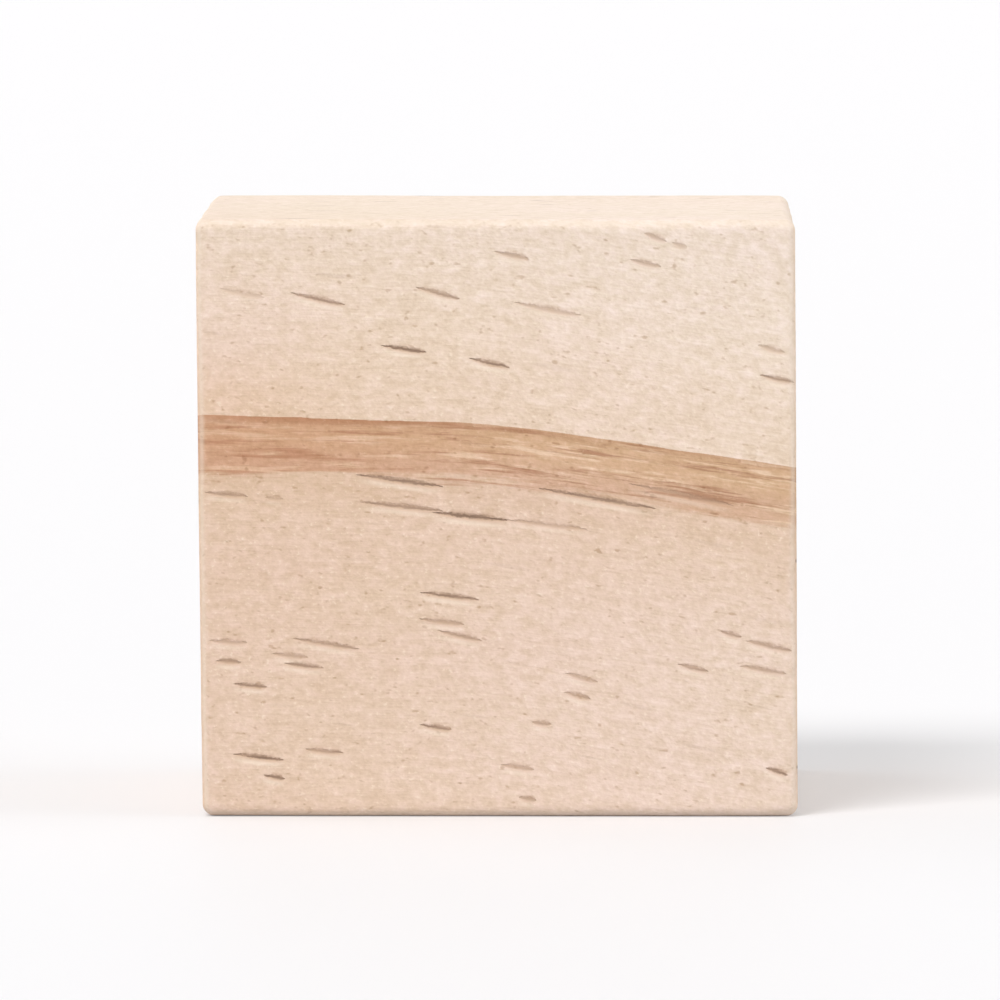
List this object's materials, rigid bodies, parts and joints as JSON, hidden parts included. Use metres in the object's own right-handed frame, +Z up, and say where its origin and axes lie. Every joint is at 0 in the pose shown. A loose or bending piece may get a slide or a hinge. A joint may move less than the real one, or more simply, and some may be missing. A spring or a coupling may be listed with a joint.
{
  "type": "wooden cube",
  "caption": "Small solid pine cube with sanded edges and sawn ends, for stacking, crafts and model making.",
  "frame": {"origin": "middle of the base, in the plane that the cube stands on", "axes": "+X with the grain, towards the right-hand sawn end; +Y from the front face to the back face; +Z up, from the base to the top face"},
  "size_m": [0.0303, 0.03, 0.03],
  "materials": {
    "pine": "bare sanded pine, matt, with one brown growth-ring band and dark resin-canal flecks along the grain"
  },
  "bodies": {
    "root": {"wooden_cube": "pine"}
  },
  "joints": []
}
